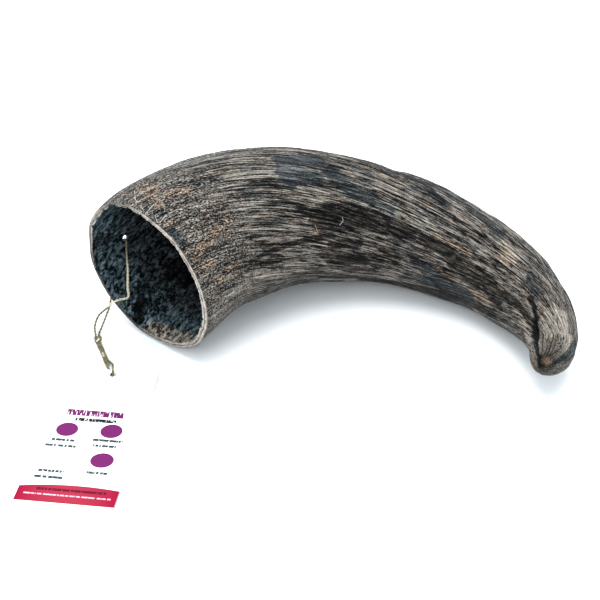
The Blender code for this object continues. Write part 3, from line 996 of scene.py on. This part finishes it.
# Soft marks, each from one place to another: share along, degrees round, twice, half width in mm, strength.
marks = {
    "stain": (
        (0.295, 82, 0.365, 83, 4.5, 1.0), (0.288, 66, 0.350, 64, 5, 0.95), (0.288, 54, 0.300, 56, 2, 0.8),
        (0.285, 74, 0.300, 72, 3, 0.8), (0.385, 72, 0.427, 57, 4.5, 0.9), (0.427, 57, 0.478, 53, 4, 0.95),
        (0.478, 53, 0.530, 50, 2.5, 0.6), (0.540, 100, 0.642, 104, 4, 0.6), (0.660, 103, 0.748, 92, 3.5, 0.55),
        (0.590, 88, 0.620, 84, 3, 0.65), (0.008, 60, 0.014, 50, 2.5, 0.85), (0.553, 23, 0.600, 20, 3.5, 0.5),
        (0.617, 7, 0.645, 4, 3, 0.7), (0.645, 4, 0.700, 352, 4.5, 0.9), (0.700, 355, 0.767, 350, 3.5, 0.9),
        (0.60, 345, 0.68, 346, 2.5, 0.8), (0.86, 78, 0.90, 74, 2.5, 0.6), (0.18, 58, 0.22, 54, 3, 0.5),
        (0.11, 24, 0.14, 20, 3, 0.4), (0.45, 3, 0.50, 0, 3, 0.45), (0.995, 160, 1.05, 150, 2.5, 0.8),
        (0.40, 86, 0.47, 84, 3, 0.5),
    ),
    "dark": (
        (0.302, 37, 0.338, 30, 2.5, 0.9), (0.338, 30, 0.418, 28, 4.5, 1.0), (0.418, 28, 0.520, 32, 4.5, 1.0),
        (0.365, 38, 0.453, 40, 2.5, 0.9), (0.453, 40, 0.512, 39, 2, 0.9), (0.520, 32, 0.598, 33, 3.2, 1.0),
        (0.598, 33, 0.672, 33, 3, 1.0), (0.672, 33, 0.742, 28, 3.5, 1.0), (0.742, 28, 0.813, 28, 3.5, 0.95),
        (0.143, 7, 0.222, 9, 1.2, 0.9), (0.222, 9, 0.312, 11, 1.4, 1.0), (0.312, 11, 0.388, 15, 2, 0.9),
        (0.17, 0, 0.24, 358, 1, 0.7), (0.22, 44, 0.30, 41, 2.5, 0.5), (0.385, 7, 0.467, 11, 3, 0.7),
        (0.418, 355, 0.490, 353, 3.5, 0.8), (0.393, 350, 0.463, 352, 3, 0.7), (0.442, 340, 0.522, 343, 2.5, 0.6),
        (0.522, 9, 0.580, 5, 2.5, 0.6), (0.800, 18, 0.850, 17, 2.5, 0.9), (0.833, 24, 0.875, 32, 2.5, 0.9),
        (0.823, 9, 0.860, 5, 2, 0.7), (0.10, 12, 0.12, 350, 2, 0.4), (0.90, 60, 0.925, 58, 1.5, 0.8),
        # Painted shade: the marks from 0.38 to 0.84 along and 316 to 341 degrees round darken the lower near edge,
        # where it comes down close to the floor.
        (0.70, 20, 0.78, 14, 3, 0.7), (0.38, 326, 0.50, 322, 1.8, 0.9), (0.50, 316, 0.60, 322, 3.2, 1.0),
        (0.60, 322, 0.67, 328, 3.5, 1.0), (0.67, 328, 0.75, 335, 3.4, 1.0), (0.75, 335, 0.84, 341, 2.6, 0.8),
        (0.885, 34, 0.965, 36, 1.8, 0.8),
        (0.37, 2, 0.53, 357, 4, 0.5), (0.40, 346, 0.52, 343, 3, 0.5), (0.30, 24, 0.33, 14, 3, 0.5),
        (0.56, 12, 0.66, 14, 3, 0.45), (0.010, 248, 0.040, 239, 3.2, 1.0),
    ),
    "tan": (
        (0.063, 107, 0.05, 93, 3.5, 1.0), (0.045, 86, 0.035, 80, 2.5, 0.8), (0.062, 82, 0.103, 76, 2.5, 0.8),
        (0.025, 62, 0.012, 64, 2.5, 0.7), (0.130, 43, 0.103, 41, 2.2, 1.0), (0.102, 41, 0.063, 38, 2.2, 0.9),
        (0.063, 38, 0.02, 36, 2.5, 0.9), (0.045, 25, 0.012, 30, 2.5, 0.8), (0.112, 11, 0.065, 14, 2.5, 0.7),
        (0.087, 5, 0.040, 10, 2.5, 0.7), (0.318, 29, 0.338, 28, 1.2, 0.8), (0.338, 28, 0.350, 19, 1.4, 1.0),
        (0.350, 19, 0.378, 11, 1.2, 0.9), (0.350, 19, 0.318, 13, 1.2, 0.9), (0.525, 6, 0.540, 5, 0.9, 1.0),
        (0.400, 353, 0.410, 352, 1.6, 0.8), (0.440, 355, 0.450, 354, 1.6, 0.8), (0.47, 86, 0.55, 90, 3, 0.5),
        (0.64, 40, 0.73, 46, 1.5, 0.9), (0.675, 8, 0.73, 2, 2.2, 0.9), (0.76, 5, 0.82, 0, 2.5, 0.7),
        (0.78, 78, 0.80, 70, 4, 0.7), (0.43, 60, 0.50, 55, 2.5, 0.4), (0.28, 52, 0.31, 48, 2, 0.5),
        (0.90, 50, 0.96, 70, 2.5, 0.5), (1.03, 320, 1.06, 20, 2, 0.9),
    ),
    "pale": (
        # Those on the upper side, round 60 to 110 degrees, are partly pale horn and partly painted light from above;
        # the two strong ones at the end, round 108 to 142 degrees, are partly a painted highlight.
        (0.955, 108, 0.990, 110, 3.4, 1.1), (0.998, 136, 1.015, 142, 3.0, 1.1), (0.92, 85, 0.99, 100, 7, 0.5),
        (0.95, 75, 1.0, 80, 5, 0.4),
        (0.765, 84, 0.81, 80, 3, 0.7), (0.03, 352, 0.30, 345, 6, 0.5), (0.30, 345, 0.62, 338, 5, 0.4),
        (0.62, 335, 0.90, 335, 4, 0.35), (0.92, 20, 0.985, 8, 2.5, 0.6), (0.06, 84, 0.24, 76, 7, 0.25),
        (0.52, 84, 0.60, 80, 4, 0.3), (0.670, 345, 0.674, 341, 1.5, 0.9), (0.450, 350, 0.483, 351, 0.8, 0.9),
        (0.10, 60, 0.20, 66, 6, 0.35),
    ),
    "bare": (
        (0.010, 268, 0.012, 300, 5, 1.0), (0.02, 262, 0.015, 258, 3, 0.6), (0.04, 173, 0.041, 174, 1, 0.9),
        (0.006, 300, 0.004, 330, 2, 0.7),
    ),
}

# More marks by chance on the side that can't be seen: how many of a kind, and the ranges of their values.
farMarks = {
    "count": 26,
    "share": (0.02, 0.95),
    "degrees": (118, 325),
    "length": (0.01, 0.09),
    "swing": (-9, 9),
    "width": (1.5, 5),
    "strength": (0.4, 1),
}

# Thin pale scratches near the rim and one hook further on: share along and degrees round, twice, half width in mm.
scratches = (
    (0.043, 105, 0.020, 96, 0.30), (0.020, 96, 0.008, 85, 0.30), (0.005, 81, 0.030, 82, 0.28),
    (0.012, 75, 0.004, 70, 0.25), (0.008, 69, 0.028, 70, 0.22), (0.410, 32, 0.413, 29, 0.25),
    (0.413, 29, 0.405, 25, 0.25), (0.340, 24, 0.348, 17, 0.20), (0.055, 67, 0.058, 66, 0.5),
    (0.118, 43, 0.121, 42, 0.5), (0.103, 41, 0.104, 40, 0.4),
)


def paintMarks(item):
    mesh = item.data
    count = len(mesh.vertices)
    share, angle = np.empty(count, np.float32), np.empty(count, np.float32)
    mesh.attributes["share"].data.foreach_get("value", share)
    mesh.attributes["angle"].data.foreach_get("value", angle)
    girth = girthAt(np.minimum(share, 1)) / mm
    length = horn["lineLength"] / mm
    chance = random.Random(5)

    def turnedFrom(degrees):
        return np.remainder(angle - math.radians(degrees) + math.pi, math.tau) - math.pi

    def drawn(name):
        return chance.uniform(*farMarks[name])

    for name, spots in marks.items():
        layer = np.zeros(count, np.float32)
        far = []
        for _ in range(0 if name == "bare" else farMarks["count"]):
            start, degrees = drawn("share"), drawn("degrees")
            end, endDegrees = start + drawn("length"), degrees + drawn("swing")
            far.append((start, degrees, end, endDegrees, drawn("width"), drawn("strength")))
        for fromShare, fromDegrees, toShare, toDegrees, width, strength in list(spots) + far:
            swing = math.remainder(math.radians(toDegrees - fromDegrees), math.tau)
            alongTo, roundTo = (toShare - fromShare) * length, swing * girth
            alongHere, roundHere = (share - fromShare) * length, turnedFrom(fromDegrees) * girth
            reach = np.clip((alongHere * alongTo + roundHere * roundTo) / (alongTo ** 2 + roundTo ** 2 + 1e-6), 0, 1)
            away = np.hypot(alongHere - reach * alongTo, roundHere - reach * roundTo) / width
            layer = np.maximum(layer, strength * np.exp(-0.5 * away ** 2.6))
        made = mesh.attributes.new("mark_" + name, "FLOAT", "POINT")
        made.data.foreach_set("value", layer)


fibre = {
    "streaks": (1.0, 3.0, 0.6, 0.25),
    "streakEdge": (0.34, 0.66),
    "gaps": (0.9, 2.0, 0.55),
    "gapShift": (31.0, 7.0, 3.0),
    "gapWidth": (0.085, 0.020),
    "broken": ((0.33, 0.33, 0.12), 5.0, 0.68),
    "brokenEdge": (0.30, 0.62),
    "flecks": ((1.1, 1.1, 0.38), 2.0, 0.6),
    "fleckEdge": (0.46, 0.56),
    "scratchEdge": (1.0, 0.4),
}


# Long fibres: streaks that run along the horn, and the thin gaps between them.
def makeFibreGroup():
    group, given, out = newGroup("horn fibres", {"Straight": None, "Across": 1.0, "Along": 0.12}, ("Streaks", "Gaps"))
    place = given["Straight"] * combine(given["Across"], given["Across"], given["Along"])
    streaks = step(grain(place, *fibre["streaks"]), *fibre["streakEdge"])
    gaps = slits(grain(place + fibre["gapShift"], *fibre["gaps"]), *fibre["gapWidth"])
    feedAll(out, {"Streaks": streaks, "Gaps": gaps})
    return group


# A soft mark given a broken, fibrous edge and a flecked body.
def makeMarkGroup():
    inputs = {"Mark": 0.0, "Straight": None, "Break": 0.6, "Flecks": 0.0}
    group, given, out = newGroup("broken mark", inputs, ("Mask",))
    broken = (streaked(given["Straight"], *fibre["broken"]) - 0.5) * given["Break"]
    flecked = step(streaked(given["Straight"], *fibre["flecks"]), *fibre["fleckEdge"])
    soft = step(given["Mark"] + broken, *fibre["brokenEdge"])
    feed(out.inputs["Mask"], soft * (1.0 - given["Flecks"] * (1.0 - flecked)))
    return group


# A thin straight scratch between two places.
def makeScratchGroup():
    group, given, out = newGroup("scratch", {"Place": None, "From": None, "Way": None, "Width": 0.3}, ("Mask",))
    here, way = given["Place"] - given["From"], given["Way"]
    reach = reckon("DIVIDE", reckon("DOT_PRODUCT", here, way), reckon("DOT_PRODUCT", way, way), clamp=True)
    away = reckon("LENGTH", here - way * reach)
    feed(out.inputs["Mask"], step(away / given["Width"], *fibre["scratchEdge"]))
    return group


outside = {
    "fibres": {"Across": 1.7, "Along": 0.050},  # how much the fibres are squeezed across and along
    "hairs": {"Across": 2.4, "Along": 0.20},
    "wide": {"Across": 0.85, "Along": 0.022},
    "grains": {  # squeeze, detail and roughness
        "blotch": ((0.15, 0.15, 0.045), 2.5, 0.5), "crumbs": ((1.2, 1.2, 0.27), 1.5, 0.6),
        "specks": ((1.5, 1.5, 0.9), 1.5, 0.6), "cool": ((0.22, 0.22, 0.07), 4.0, 0.65),
    },
    # Really long lines: how closely they stand round the horn, and how fast they change per mm along it.
    "lines": {"rasped": (32.5, 0.014), "combed": (50, 0.020)},
    "cuts": {"cuts": (17, 0.008), "fineCuts": (27, 0.010)},
    "cutWidth": (0.075, 0.02),
    # Where along the horn each kind of skin starts and ends, and how much the blotches shift that.
    "crumbly": (0.12, 0.26, 0.15),
    "lined": (0.60, 0.60, 0.85),
    "ended": (0.90, 1.0),
    "held": 0.65,  # how much the fibres fade in the crumbly part, and the crumbs outside it
    "base": 0.480,
    "height": (  # pattern, its middle, its weight, and the mask where it shows
        ("relief", 0.4, 0.16), ("fibres", 0.5, 0.20, "stringy"), ("hairs", 0.5, 0.15),
        ("crumbs", 0.5, 0.28, "tangled"), ("gaps", 0.30, -0.22, "stringy"), ("specks", 0.5, 0.48),
        ("specks", 0.5, 0.90, "crumbly"), ("crumbly", 0.0, -0.026), ("rasped", 0.5, 0.42, "lined"),
        ("combed", 0.5, 0.30, "even"), ("cuts", 0.33, -0.17, "lined"), ("fineCuts", 0.33, -0.13, "even"),
        ("ended", 0.0, 0.055),
    ),
    "tone": (("blotch", 0.5, 0.31), ("wide", 0.5, 0.12)),
    "colours": (
        (0.28, (0.0012, 0.0014, 0.0017)), (0.37, (0.007, 0.0066, 0.0066)), (0.45, (0.044, 0.039, 0.036)),
        (0.57, (0.130, 0.113, 0.098)), (0.78, (0.34, 0.30, 0.258)),
    ),
    "tint": ((0.40, (0.90, 0.985, 1.02)), (0.50, (1.0, 0.995, 0.98)), (0.60, (1.05, 0.99, 0.95))),
    "patches": {  # in the order that they are laid: how broken, how flecked, how strong, and their colours
        # Pale horn, and on the upper side and at the end partly painted light.
        "pale": (1.1, 0.25, 0.8, (
            (0.24, (0.016, 0.0135, 0.012)), (0.38, (0.11, 0.094, 0.080)), (0.54, (0.30, 0.26, 0.215)),
            (0.74, (0.58, 0.52, 0.45)),
        )),
        "tan": (1.4, 0.60, 0.8, (
            (0.26, (0.007, 0.005, 0.004)), (0.40, (0.055, 0.038, 0.027)), (0.54, (0.20, 0.142, 0.098)),
            (0.72, (0.48, 0.365, 0.265)),
        )),
        "stain": (1.1, 0.15, 0.93, (
            (0.26, (0.0015, 0.002, 0.0027)), (0.45, (0.008, 0.0115, 0.0145)), (0.62, (0.030, 0.038, 0.043)),
            (0.82, (0.13, 0.14, 0.14)),
        )),
        # Dark horn, and along the lower near edge painted shade as well.
        "dark": (0.9, 0.12, 0.95, (
            (0.30, (0.0012, 0.0012, 0.0014)), (0.48, (0.004, 0.0038, 0.0037)), (0.64, (0.018, 0.016, 0.0145)),
            (0.82, (0.12, 0.105, 0.09)),
        )),
    },
    "scratched": 0.85,
    "scratchColour": (0.42, 0.39, 0.35),
    "creaseLevel": 0.44,
    "crease": (0.14, 0.58),
    "creaseColour": (0.003, 0.003, 0.003),
    "pit": 0.7,
    "pitShade": (0.12, 0.10, 0.095),
    "nub": 0.85,
    "nubTint": (1.05, 1.0, 0.97),
    "roughness": 0.66,
    "polish": 0.20,
    "finish": {
        "Specular IOR Level": 0.035, "Sheen Weight": 0.09, "Sheen Roughness": 0.10, "Sheen Tint": (0.82, 0.92, 1),
    },
    "bump": (1.0, 0.0006),
}


# The patterns of the outside, and the masks of its crumbly, even and lined stretches.
def outsidePatterns(tree, straight, fibreGroup):
    wide = placeGroup(fibreGroup, Straight=straight, **outside["wide"])
    patterns = {name: streaked(straight, *values) for name, values in outside["grains"].items()}
    for name in ("fibres", "hairs"):
        patterns[name] = placeGroup(fibreGroup, Straight=straight, **outside[name])["Streaks"]
    ring = reckon("NORMALIZE", straight * (1, 1, 0))
    for name, (pitch, along) in (outside["lines"] | outside["cuts"]).items():
        patterns[name] = grain(ring * (pitch, pitch, 0) + straight * (0, 0, along), 1.0, 1.0, 0.5)
    for name in outside["cuts"]:
        patterns[name] = slits(patterns[name], *outside["cutWidth"])
    share = attribute(tree, "share")
    shifted, *reach = outside["crumbly"]
    crumbly = step(share + patterns["blotch"] * shifted, *reach)
    shifted, *reach = outside["lined"]
    lined = step(share + patterns["blotch"] * shifted, *reach)
    patterns.update(
        relief=attribute(tree, "relief"), wide=wide["Streaks"], gaps=wide["Gaps"], crumbly=crumbly, lined=lined,
        stringy=1.0 - crumbly * outside["held"], tangled=1.0 - (1.0 - crumbly) * outside["held"],
        even=reckon("SUBTRACT", 1.0 - lined, crumbly, clamp=True), ended=step(share, *outside["ended"]),
    )
    return patterns


def makeOutside(fibreGroup, markGroup):
    material, tree, shader = newMaterial("horn outside")
    straight = attribute(tree, "straight", "Vector")
    patterns = outsidePatterns(tree, straight, fibreGroup)
    height = stacked(outside["base"], outside["height"], patterns)
    tone = stacked(height, outside["tone"], patterns)
    colour = mixed(1.0, ramp(tone, outside["colours"]), ramp(patterns["cool"], outside["tint"]), "MULTIPLY")
    for name, (broken, flecks, strength, stops) in outside["patches"].items():
        mark = attribute(tree, "mark_" + name)
        mask = placeGroup(markGroup, Mark=mark, Straight=straight, Break=broken, Flecks=flecks)["Mask"]
        colour = mixed(mask * strength, colour, ramp(tone, stops))
    scratchGroup = makeScratchGroup()
    scratched = None
    for fromShare, fromDegrees, toShare, toDegrees, width in scratches:
        start = straightened(fromShare, math.radians(fromDegrees))
        way = straightened(toShare, math.radians(toDegrees)) - start
        one = placeGroup(scratchGroup, Place=straight, From=start, Way=way, Width=width)["Mask"]
        scratched = reckon("MAXIMUM", scratched, one) if scratched else one
    colour = mixed(scratched * outside["scratched"], colour, outside["scratchColour"])
    # Painted shade in the cuts at the rounded end, darkest where the skin lies low.
    crease = step(attribute(tree, "mark_crease") - (height - outside["creaseLevel"]), *outside["crease"])
    colour = mixed(crease, colour, outside["creaseColour"])
    away = reckon("LENGTH", objectPlace(tree) - tipNub["place"])
    colour = shaded(step(away, *tipNub["pit"]) * outside["pit"], colour, outside["pitShade"])
    broken = (patterns["crumbs"] - 0.5) * tipNub["broken"]
    nub = step(away + broken, *tipNub["reach"])
    nubColour = mixed(1.0, ramp(tone, outside["patches"]["tan"][3]), outside["nubTint"], "MULTIPLY")
    feedAll(shader, {
        "Base Color": mixed(nub * outside["nub"], colour, nubColour),
        "Roughness": outside["roughness"] - height * outside["polish"],
        "Normal": bump(height, *outside["bump"]), **outside["finish"],
    })
    return material


inside = {
    "rough": (520.0, 2.0, 0.65, 0.3),
    "coarse": ((0.45, 0.45, 0.22), 2.0, 0.6),
    "cracks": {"Across": 0.40, "Along": 0.26},
    "fibres": {"Across": 0.75, "Along": 0.17},
    "base": 0.5,
    "height": (
        ("relief", 0.5, 0.40), ("rough", 0.5, 0.34), ("coarse", 0.5, 0.60), ("fibres", 0.5, 0.10),
        ("cracks", 0.25, -0.30),
    ),
    "colours": (
        (0.26, (0.0008, 0.001, 0.0014)), (0.37, (0.018, 0.028, 0.033)), (0.54, (0.060, 0.092, 0.107)),
        (0.78, (0.18, 0.24, 0.265)),
    ),
    # Painted shade deep in the hollow, in the next four: where it starts and is full, how broken its edge, how strong,
    # and its colour.
    "deep": (0.045, 0.105),  # the shares of the length between which the hollow goes dark
    "deepBroken": 0.06,
    "deepStrength": 0.93,
    "deepShade": (0.46, 0.35, 0.33),
    "clump": {"Break": 1.0, "Flecks": 0.2},
    "clumpShade": (0.12, 0.10, 0.10),
    "bare": {"Break": 1.2, "Flecks": 0.3},
    "bareColours": ((0.32, (0.030, 0.022, 0.017)), (0.50, (0.21, 0.175, 0.138)), (0.72, (0.46, 0.40, 0.33))),
    "roughness": 0.80,
    "polish": 0.25,
    "finish": {"Specular IOR Level": 0.05},
    "bump": (1.0, 0.0012),
}


def makeInside(fibreGroup, markGroup):
    material, tree, shader = newMaterial("horn inside")
    straight = attribute(tree, "straight", "Vector")
    patterns = {
        "relief": attribute(tree, "relief"),
        "rough": grain(objectPlace(tree), *inside["rough"]),
        "coarse": streaked(straight, *inside["coarse"]),
        "fibres": placeGroup(fibreGroup, Straight=straight, **inside["fibres"])["Streaks"],
        "cracks": placeGroup(fibreGroup, Straight=straight, **inside["cracks"])["Gaps"],
    }
    clump, bare = (
        placeGroup(markGroup, Mark=attribute(tree, "mark_" + mark), Straight=straight, **inside[name])["Mask"]
        for mark, name in (("dark", "clump"), ("bare", "bare"))
    )
    height = stacked(inside["base"], inside["height"], patterns)
    colour = ramp(height, inside["colours"])
    # Painted shade: the hollow darkens further in, where less light reaches.
    deep = step(attribute(tree, "share") + (patterns["coarse"] - 0.5) * inside["deepBroken"], *inside["deep"])
    colour = shaded(deep * inside["deepStrength"], colour, inside["deepShade"])
    colour = shaded(clump, colour, inside["clumpShade"])
    feedAll(shader, {
        "Base Color": mixed(bare, colour, ramp(height, inside["bareColours"])),
        "Roughness": inside["roughness"] - patterns["rough"] * inside["polish"],
        "Normal": bump(height, *inside["bump"]), **inside["finish"],
    })
    return material


sawnEdge = {
    "rough": (1000.0, 3.0, 0.7),
    "chalk": (260.0, 3.0, 0.6),
    "layers": {"Scale": 0.62, "Distortion": 0.6},
    "roughWeight": 0.45,
    "chalkWeight": 0.45,
    "layerWeight": 0.20,
    "colours": (
        (0.34, (0.014, 0.012, 0.011)), (0.44, (0.12, 0.100, 0.086)), (0.57, (0.30, 0.262, 0.228)),
        (0.74, (0.56, 0.51, 0.46)),
    ),
    "rimTone": (  # degrees round, and how much of the light colour is kept there
        (0, 1.0), (60, 1.0), (72, 1.0), (97, 0.55), (122, 0.50), (140, 0.8), (168, 0.7), (186, 0.30), (216, 0.14),
        (250, 0.16), (266, 0.55), (288, 0.8), (310, 0.7), (335, 1.0),
    ),
    "roughness": 0.65,
    "dull": 0.2,
    "finish": {"Specular IOR Level": 0.2},
    "bump": (0.8, 0.0004),
}


def makeRim():
    material, tree, shader = newMaterial("horn sawn edge")
    place = objectPlace(tree)
    rough, chalk = grain(place, *sawnEdge["rough"]), grain(place, *sawnEdge["chalk"])
    inputs = {"Vector": combine(attribute(tree, "depth"), 0, 0), **sawnEdge["layers"]}
    layers = addNode(tree, "ShaderNodeTexWave", inputs, 1, wave_type="BANDS", bands_direction="X")
    tone = rough * sawnEdge["roughWeight"] + chalk * sawnEdge["chalkWeight"] + layers * sawnEdge["layerWeight"]
    # The sawn edge is darker round 90 to 130 and 180 to 270 degrees.
    rimTone = ramp(
        attribute(tree, "angle") / math.tau, [(degrees / 360, (left,) * 3) for degrees, left in sawnEdge["rimTone"]],
    )
    feedAll(shader, {
        "Base Color": mixed(1.0, ramp(tone, sawnEdge["colours"]), rimTone, "MULTIPLY"),
        "Roughness": sawnEdge["roughness"] + rough * sawnEdge["dull"],
        "Normal": bump(tone, *sawnEdge["bump"]), **sawnEdge["finish"],
    })
    return material


# The drilled hole is cut through the wall, and the points of its edges get the skin's own values.
def drillHole(item, materials):
    share, degrees = horn["hole"]
    angle = math.radians(degrees)
    origin, level, up, along = frameAt(share)
    outward = level * math.cos(angle) + up * math.sin(angle)
    middle = origin + outward * (outerRadius(share, angle) - wallAt(share, angle) / 2)
    radius = horn["holeDiameter"] / 2
    shape = bmesh.new()
    bmesh.ops.create_cone(
        shape, cap_ends=True, segments=horn["drillSegments"], radius1=radius, radius2=radius, depth=horn["drillLength"],
        matrix=Matrix.Translation(middle) @ horn["holeLine"].to_track_quat("Z", "Y").to_matrix().to_4x4(),
    )
    for face in shape.faces:
        face.material_index = 1
    drill = addMesh("drill", shape, materials)
    cut = item.modifiers.new("drill", "BOOLEAN")
    cut.operation = "DIFFERENCE"
    cut.solver = "EXACT"
    cut.object = drill
    whole, drillMesh = item.data, drill.data
    item.data = bpy.data.meshes.new_from_object(item.evaluated_get(bpy.context.evaluated_depsgraph_get()))
    item.data.name = whole.name
    item.modifiers.clear()
    bpy.data.objects.remove(drill)
    bpy.data.meshes.remove(drillMesh)
    bpy.data.meshes.remove(whole)
    values = {name: item.data.attributes[name].data for name in ("straight", "share", "angle", "relief")}
    for spot in item.data.vertices:
        away = spot.co - middle
        if away.length < horn["holeReach"] and values["straight"][spot.index].vector.length < 1:
            here = share + away.dot(along) / horn["lineLength"]
            out = spot.co - (origin + along * away.dot(along))
            turned = math.atan2(out.dot(up), out.dot(level)) % math.tau
            values["straight"][spot.index].vector = straightened(here, turned)
            for name, value in (("share", here), ("angle", turned), ("relief", 0.5)):
                values[name][spot.index].value = value


def makeHorn():
    fibreGroup, markGroup = makeFibreGroup(), makeMarkGroup()
    materials = [makeOutside(fibreGroup, markGroup), makeRim(), makeInside(fibreGroup, markGroup)]
    item = wrapHorn(materials)
    drillHole(item, materials)
    paintMarks(item)
    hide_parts("horn")
    print("horn made,", len(item.data.polygons), "faces")


makeHorn()
